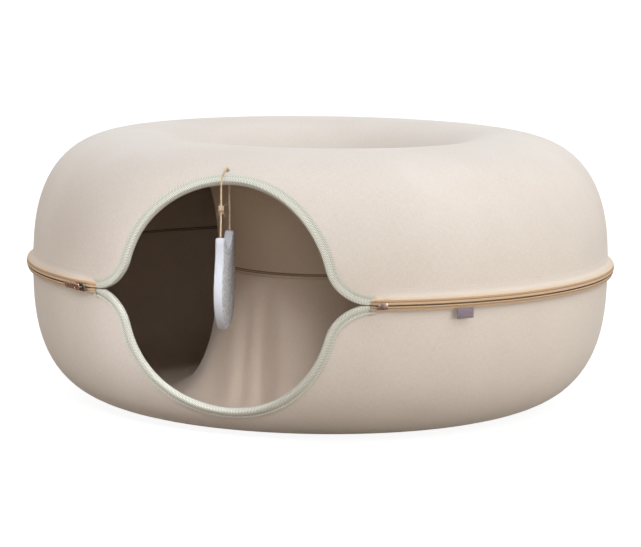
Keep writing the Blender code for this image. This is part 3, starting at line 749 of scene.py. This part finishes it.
# The tape's section, in mm: depth and rise. Its face goes up the lip, in over the
# crease and up the felt turned out behind it; its back comes down again inside. The
# tails past its ends are pinched flatter and dip to depths of their own.
FELT_FROM, SUNK_DEPTH, CREASES = 5.0, 6.6, {UPPER: 3.4, LOWER: 2.45}
TAIL, TAIL_STEPS, TAIL_PINCH, TAIL_FACE_DEPTH, TAIL_BACK_DEPTH = 6.0, 6, 0.25, 4.1, 4.75
TAPE_FACES = {
    UPPER: [(0.55, 0.42), (0.12, 0.75), (0.0, 1.2), (0.0, 2.5), (0.1, 2.95),
            (0.42, 3.25), (0.5, 3.45), (0.42, 3.65), (0.3, 4.1), (0.4, 4.8),
            (0.62, 5.3), (0.8, 5.45), (0.75, 5.6), (1.3, 5.85), (2.9, 6.35), (4.3, 7.0),
            (5.3, 7.8), (5.9, 8.8), (6.25, 10.0), (6.45, 11.8), (6.55, 15.0)],
    LOWER: [(0.85, 0.42), (0.5, 0.75), (0.42, 1.1), (0.48, 1.6), (0.62, 1.95),
            (1.05, 2.25), (1.3, 2.45), (1.3, 2.65), (1.15, 2.95), (1.2, 3.4),
            (1.4, 3.9), (1.6, 4.3), (1.95, 4.7), (2.6, 5.1), (3.6, 5.7), (4.6, 6.5),
            (5.4, 7.6), (5.95, 8.9), (6.25, 10.4), (6.45, 12.4), (6.55, 15.0)],
}
tape_back = [(6.7, 15.05), (6.65, 9.2), (6.5, 8.2), (5.8, 6.8), (3.9, 5.5), (1.9, 4.4),
             (1.5, 4.1), (1.35, 3.6), (1.3, 0.42)]

# The facing strips behind the coils, in mm: their depths, the rounding of the free
# edge, and the rises of the sewn edge and the free one. Their UVs count 2 mm from
# corner to corner, so the painted shadow line where the two strips meet lies at 6.1.
FACING_NEAR, FACING_FAR, FACING_ROUND, FACING_HIGH = 7.3, 8.8, 0.2, 4.6
FACING_LOWS = {UPPER: -0.5, LOWER: 0.7}
FACING_UV, JOINT_SHADOW_UV = 2.0 * MM, 6.1 * MM

tape = Look("camel_tape_and_felt", Roughness=0.85, Sheen_Weight=0.15)
run, over, _ = tape.split(tape.weave_uv())
twill = ((run / (1.5 * MM) + over / (1.1 * MM)) * (2 * pi)).math("SINE") * 0.5 + 0.5
ribs = ((run / (0.6 * MM)) * (2 * pi)).math("SINE") * 0.5 + 0.5
tape_fluff = tape.noise(tape.place(), 1000.0, 3.0)
woven = twill * 0.45 + ribs * 0.2 + tape_fluff * 0.35
camel = tape.mix(tape.ramp(woven, 0.2, 0.8), rgb(168, 130, 94), rgb(218, 186, 150))
# Painted highlight: the lip's face is painted paler along the tape's rounded edge.
lip = tape.ramp(over, 2.6 * MM, 3.1 * MM, 1.0, 0.0)
camel = tape.mix(lip * 0.5, camel, rgb(226, 196, 162))
# Painted shade: the crease behind the lip is painted dark, and so are the lips' edges
# beside the zip's groove, widening its shadow line.
from_crease = (over - CREASES[UPPER] * MM).math("ABSOLUTE")
crease = tape.ramp(from_crease, 0.1 * MM, 0.45 * MM, 0.6, 0.0)
painted_mouth_shade = tape.ramp(over, 0.7 * MM, 1.1 * MM, 0.9, 0.0)
camel = tape.mix(crease.math("MAXIMUM", painted_mouth_shade), camel, rgb(92, 56, 26))
felt_uv = tape.stretched(tape.weave_uv(), (900.0, 900.0, 1.0))
felt_grain = tape.noise(felt_uv, 1.0, 4.0, 0.7)
turned_felt = tape.mix(tape.ramp(felt_grain, 0.4, 0.6), rgb(214, 202, 190),
                       rgb(227, 216, 206))
# Painted shade: next to the tape the turned felt is tinted darker and warmer, toning down
# the light its flare catches.
turned_felt = tape.mix(tape.ramp(over, 5.8 * MM, 8.6 * MM), rgb(222, 198, 170),
                       turned_felt)
felt_zone = tape.ramp(over, 5.3 * MM, 5.5 * MM)
tape.colour(tape.mix(felt_zone, camel, turned_felt))
tape.relief(woven * (1 - felt_zone) + felt_grain * felt_zone, 0.25 * MM, 0.7)

nylon = Look("coil_nylon", Roughness=0.6, Specular_IOR_Level=0.25)
nylon_shade = nylon.noise(nylon.place(), 400.0, 2.0)
nylon.colour(nylon.mix(nylon_shade, rgb(80, 48, 24), rgb(116, 76, 42)))
nylon.relief(nylon.noise(nylon.place(), 3000.0, 2.0), 0.03 * MM)

facing_felt = Look("facing_felt", Roughness=0.95, Sheen_Weight=0.1)
_, over, _ = facing_felt.split(facing_felt.weave_uv())
facing_grain = facing_felt.noise(facing_felt.place(), 900.0, 4.0, 0.7)
# Painted shade: the facing takes the felt's darker, warmer inside colour.
facing_tone = facing_felt.mix(facing_felt.ramp(facing_grain, 0.4, 0.6),
                              rgb(206, 186, 166), rgb(219, 201, 183))
# Painted shadow: a dark line along each strip where the two strips meet.
from_joint_shadow = (over - JOINT_SHADOW_UV).math("ABSOLUTE")
painted_joint_shadow = facing_felt.ramp(from_joint_shadow, 0.3 * MM, 0.5 * MM, 1.0, 0.0)
facing_felt.colour(facing_felt.mix(painted_joint_shadow, facing_tone, rgb(150, 124, 100)))
facing_felt.relief(facing_grain, 0.3 * MM, 0.5)

# One tooth is one turn of the coil's wire, leaning along the zip.
tooth_loop = []
for step in range(TOOTH_STEPS):
    a = 2 * pi * (step + 0.5) / TOOTH_STEPS
    tooth_loop.append(Vector((TOOTH_HALF_T * boxy(cos(a)), TOOTH_HALF_H * boxy(sin(a)),
                              TOOTH_LEAN * cos(a))))
tooth_rings = []
for i, point in enumerate(tooth_loop):
    way = (tooth_loop[(i + 1) % TOOTH_STEPS] - tooth_loop[i - 1]).normalized()
    side = Vector((0.0, 0.0, 1.0))
    other = way.cross(side).normalized()
    tooth_rings.append([point + WIRE_R * (cos(b) * side + sin(b) * other)
                        for b in (2 * pi * j / WIRE_STEPS for j in range(WIRE_STEPS))])
tooth = skin("tooth", tooth_rings, True)

for name, lip_r, outwards, start, end, steps in (OUTER_ZIP, WAIST_ZIP):
    box_turn, stop_turn = degrees(BOX_RUN / lip_r), degrees(STOP_RUN / lip_r)
    for half, side in ((UPPER, "upper"), (LOWER, "lower")):
        face = TAPE_FACES[half]
        loop = face + tape_back
        # The felt's turned rim sinks back into the ring towards both ends, where
        # the tape's tail dips under and is tacked down on the binding.
        runs = [(start, -TAIL * i / TAIL_STEPS) for i in range(TAIL_STEPS, 0, -1)]
        runs += [(start + (end - start) * i / steps, 0.0) for i in range(steps + 1)]
        runs += [(end, TAIL * i / TAIL_STEPS) for i in range(1, TAIL_STEPS + 1)]
        rings, along = [], []
        for angle, past in runs:
            turn = radians(angle) + past * MM / lip_r
            along.append(lip_r * turn)
            from_end = max(min(turn - radians(start), radians(end) - turn), 0.0) * lip_r
            swell = eased(min(from_end / RIM_RUN, 1.0))
            dip = eased(abs(past) / TAIL)
            ring = []
            for i, (d, h) in enumerate(loop):
                if i < len(face) and h > FELT_FROM:
                    d = SUNK_DEPTH - (SUNK_DEPTH - d) * swell
                seat = TAIL_FACE_DEPTH if i < len(face) else TAIL_BACK_DEPTH
                d += max(seat - d, 0.0) * dip
                r = lip_r - outwards * d * MM
                ring.append((r * cos(turn), r * sin(turn),
                             ZIP_HEIGHT + half * h * (1 - TAIL_PINCH * dip) * MM))
            rings.append(ring)
        across = [h * MM * CREASES[UPPER] / CREASES[half] for _, h in loop]
        piece = skin(f"{name}_tape_{side}_cloth", rings, False, across + across[:1],
                     along + along[-1:])
        soften(piece, 40)
        tape.on(piece)
        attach(piece, f"{side}_half")
        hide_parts(f"{name}_tape_{side}")

        first, last = radians(start + box_turn), radians(end - stop_turn)
        r = lip_r - outwards * (TAPE_T + COIL_GAP + COIL_T / 2)
        z = ZIP_HEIGHT + half * COIL_RISE
        line = [(r * cos(a), r * sin(a), z) for a in np.linspace(first, last, steps + 1)]
        coil = repeated(f"{name}_coil_{side}_teeth", repeats, [line], tooth, TOOTH_PITCH,
                        nylon)
        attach(coil, f"{side}_half")
        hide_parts(f"{name}_coil_{side}")

        # Behind the coils, the felt rims carry a thin facing that hides the zip
        # from inside; the two strips meet just below the zip line.
        low = FACING_LOWS[half]
        facing_line = [(FACING_NEAR, low + FACING_ROUND), (FACING_NEAR + FACING_ROUND, low),
                       (FACING_FAR - FACING_ROUND, low), (FACING_FAR, low + FACING_ROUND),
                       (FACING_FAR, FACING_HIGH), (FACING_NEAR, FACING_HIGH)]
        rings = []
        for step in range(steps + 1):
            turn = radians(start + (end - start) * step / steps)
            rings.append([((lip_r - outwards * d * MM) * cos(turn),
                           (lip_r - outwards * d * MM) * sin(turn),
                           ZIP_HEIGHT + half * h * MM) for d, h in facing_line])
        across = [FACING_UV * i for i in range(len(facing_line) + 1)]
        strip = skin(f"{name}_facing_{side}", rings, False, across, along[:steps + 2])
        soften(strip, 40)
        facing_felt.on(strip)
        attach(strip, f"{side}_half")
bpy.data.objects.remove(tooth)


# The zips' metal. Sliders, retainer boxes, stops and pins are die-cast and plated
# dark antique brass, worn bright on their edges; the pulls are rose gold.
def rounded(node, width, name):
    """A copy of a plain solid with its edges rounded."""
    copy = bmesh.new()
    copy.from_mesh(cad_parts[node].data)
    bmesh.ops.remove_doubles(copy, verts=copy.verts, dist=0.01 * MM)
    bmesh.ops.dissolve_limit(copy, angle_limit=radians(2), verts=copy.verts,
                             edges=copy.edges)
    piece = made_from(name, copy)
    edge = piece.modifiers.new("edge", "BEVEL")
    edge.width, edge.segments, edge.limit_method = width, 2, "ANGLE"
    edge.angle_limit = radians(30)
    settle(piece)
    return soften(piece, 40)


def plated(name, dark, bright, roughness):
    """A metal look: dark in the hollows, bright on the edges and in small worn spots."""
    look = Look(name, Metallic=1.0)
    wear = look.noise(look.place(), 350.0, 4.0, 0.65)
    edge = look.node("ShaderNodeNewGeometry", {}, out=7)
    bright_share = look.ramp(edge, 0.5, 0.62) * 0.7 + look.ramp(wear, 0.5, 0.7) * 0.3
    look.colour(look.mix(bright_share, dark, bright))
    uneven = look.ramp(wear, 0.3, 0.7, roughness - 0.06, roughness + 0.1)
    look.feed(look.shader.inputs["Roughness"], uneven)
    look.relief(look.noise(look.place(), 1500.0, 2.0), 0.02 * MM, 0.5)
    return look


antique = plated("antique_brass", rgb(92, 72, 58), rgb(226, 204, 190), 0.26)
rose = plated("rose_gold", rgb(168, 122, 100), rgb(240, 212, 196), 0.24)
for name, *_ in (OUTER_ZIP, WAIST_ZIP):
    short = name.split("_")[0]
    for node, body, look, width in (
        (f"{name}_slider", f"{short}_slider", antique, 0.22 * MM),
        (f"{name}_pull", f"{short}_pull", rose, 0.3 * MM),
        (f"{name}_retainer_box", "lower_half", antique, 0.25 * MM),
        (f"{name}_stop_lower", "lower_half", antique, 0.25 * MM),
        (f"{name}_stop_upper", "upper_half", antique, 0.25 * MM),
        (f"{name}_insertion_pin", "upper_half", antique, 0.3 * MM),
    ):
        piece = rounded(node, width, f"{node}_cast")
        look.on(piece)
        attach(piece, body)
        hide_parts(node)


# The ribbon tab. A plain mauve-grey ribbon, folded and sewn in under the zip; it
# is left bare.
ribbon = Look("mauve_ribbon", Roughness=0.7, Sheen_Weight=0.2)
spot = ribbon.place()
cords = ribbon.noise(ribbon.stretched(spot, (900.0, 900.0, 3200.0)), 1.0, 2.0)
ribbon.colour(ribbon.mix(ribbon.ramp(cords, 0.35, 0.65), rgb(112, 98, 106),
                         rgb(154, 140, 148)))
ribbon.relief(cords, 0.08 * MM, 0.7)
tab = rounded("label_tab", 0.2 * MM, "ribbon_tab")
ribbon.on(tab)
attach(tab, "lower_half")
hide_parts("label_tab")


# The plaque. Die-cut 8 mm grey-white felt with two blunt ears, hung by both; its
# cut edge is clean and bluish white, its faces are flecked with grey fibres.
PLAQUE_W, PLAQUE_H, PLAQUE_T = 83.0 * MM, 88.0 * MM, 8.2 * MM
PLAQUE_TOP = Vector((-8.30, -256.48, 196.4)) * MM
PLAQUE_WAY = Vector((-0.2096186, 0.9777833, 0.0))
PLAQUE_SPACING, DEPTH_UV = 3.0 * MM, 1.0 * MM
# The right half of its outline, as shares of half the width and of the height.
OUTLINE_SHARES = [
    (0.00, 0.145), (0.30, 0.105), (0.50, 0.045), (0.60, 0.000), (0.76, 0.000),
    (0.80, 0.040), (0.80, 0.140), (0.86, 0.280), (0.955, 0.410), (1.00, 0.540),
    (0.975, 0.660), (0.88, 0.765), (0.72, 0.860), (0.52, 0.940), (0.34, 0.985),
    (0.18, 1.000), (0.00, 1.000),
]
# From back to front: share of the thickness, and how far the rounding is inset in mm.
PLAQUE_LEVELS = [(-0.5, 1.1), (-0.46, 0.5), (-0.36, 0.12), (-0.15, 0.0),
                 (0.15, 0.0), (0.36, 0.12), (0.46, 0.5), (0.5, 1.1)]
right = [Vector((u * PLAQUE_W / 2, -v * PLAQUE_H, 0.0)) for u, v in OUTLINE_SHARES]
half_outline = smooth_route(right, PLAQUE_SPACING)
outline = half_outline + [Vector((-p.x, p.y, 0.0)) for p in half_outline[-2:0:-1]]
plaque_normal = PLAQUE_WAY.cross(Vector((0.0, 0.0, 1.0)))
rings = []
for depth, inset in PLAQUE_LEVELS:
    ring = []
    for i, point in enumerate(outline):
        way = (outline[(i + 1) % len(outline)] - outline[i - 1]).normalized()
        inwards = Vector((way.y, -way.x, 0.0))
        spot = point + inwards * (inset * MM)
        ring.append(PLAQUE_TOP + PLAQUE_WAY * spot.x + Vector((0.0, 0.0, spot.y))
                    + plaque_normal * (depth * PLAQUE_T))
    rings.append(ring)
levels = [DEPTH_UV * i for i in range(len(PLAQUE_LEVELS) + 1)]
plaque = skin("plaque_felt", rings, False, None, levels)
soften(plaque, 50)
grey_felt = Look("flecked_felt", Roughness=0.96, Sheen_Weight=0.3)
fleck = grey_felt.noise(grey_felt.place(), 420.0, 5.0, 0.75)
level, _, _ = grey_felt.split(grey_felt.weave_uv())
from_middle = (level / DEPTH_UV - 3.5).math("ABSOLUTE")
edge_band = grey_felt.ramp(from_middle, 2.4, 3.1, 1.0, 0.0)
flecked = grey_felt.mix(grey_felt.ramp(fleck, 0.40, 0.56), rgb(124, 120, 122),
                        rgb(216, 213, 216))
grey_felt.colour(grey_felt.mix(edge_band, flecked, rgb(198, 199, 205)))
grey_felt.relief(fleck, 0.5 * MM, 0.7)
grey_felt.on(plaque)
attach(plaque, "toy")
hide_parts("toy_plaque")


# The studio: a white floor and surround, large soft lights overhead, at the right
# and low at the left and front, and three narrow beams from the front that reach
# in through the opening.
world = bpy.data.worlds.new("studio")
bpy.context.scene.world = world
world.use_nodes = True
SURROUND, SEEN_SURROUND = (0.71, 0.71, 0.72, 1.0), (1.0, 1.0, 1.0, 1.0)
sky = Wiring(world.node_tree)
to_camera = sky.node("ShaderNodeLightPath", {})
sky.feed(world.node_tree.nodes["Background"].inputs["Color"],
         sky.mix(to_camera, SURROUND, SEEN_SURROUND))

# The camera sees a pale floor; the tunnel is lit by a darker and warmer one.
FLOOR_HALF, FLOOR_GLOW = 30.0, 0.9
BOUNCE_SHADE, SEEN_SHADE = (0.30, 0.25, 0.205, 1.0), (0.25, 0.25, 0.25, 1.0)
ground = bmesh.new()
bmesh.ops.create_grid(ground, x_segments=1, y_segments=1, size=FLOOR_HALF)
floor = made_from("floor", ground)
material = bpy.data.materials.new("white_paper")
material.use_nodes = True
material.node_tree.nodes.remove(material.node_tree.nodes["Principled BSDF"])
paper = Wiring(material.node_tree)
bounce = paper.node("ShaderNodeBsdfDiffuse", {}, BOUNCE_SHADE)
shown = paper.node("ShaderNodeBsdfDiffuse", {}, SEEN_SHADE)
glow = paper.node("ShaderNodeEmission", {}, Strength=FLOOR_GLOW)
pale = paper.node("ShaderNodeAddShader", {}, shown, glow)
to_camera = paper.node("ShaderNodeLightPath", {})
paper.feed(material.node_tree.nodes["Material Output"].inputs["Surface"],
           paper.node("ShaderNodeMixShader", {}, to_camera, bounce, pale))
floor.data.materials.append(material)


def lamp(name, kind, place, aim, power, size, tint):
    """A lamp of power watts at a place, turned to its aim."""
    light = linked(name, bpy.data.lights.new(name, kind))
    light.data.energy, light.data.color = power, tint
    if kind == "AREA":
        light.data.size = size
    else:
        light.data.shadow_soft_size = size
    light.location = place
    light.rotation_euler = (Vector(aim) - Vector(place)).to_track_quat("-Z", "Y").to_euler()
    return light.data


MIDDLE, BEAM_AIM = (0.0, 0.0, 0.14), (-0.065, -0.2, 0.06)
lamp("key", "AREA", (1.9, -0.9, 2.1), MIDDLE, 18.0, 1.8, (0.86, 1.0, 1.1))
lamp("overhead", "AREA", (0.1, 0.5, 2.6), MIDDLE, 11.5, 2.2, (0.84, 1.0, 1.24))
lamp("side", "AREA", (2.9, -1.2, 0.5), MIDDLE, 27.0, 1.2, (1.04, 1.0, 0.92))
lamp("fill", "AREA", (-2.4, -2.0, 0.35), MIDDLE, 13.0, 1.2, (1.06, 1.0, 0.92))
lamp("front", "AREA", (0.9, -3.3, 0.5), MIDDLE, 8.0, 1.2, (1.06, 1.0, 0.92))
for i in range(3):
    beam = lamp(f"beam_{i}", "SPOT", (0.3 * i, -1.95, 1.3), BEAM_AIM, 92.0, 0.1,
                (0.95, 1.0, 1.08))
    beam.spot_size, beam.spot_blend = radians(4.3), 0.7

bpy.context.scene.view_settings.view_transform = "Standard"
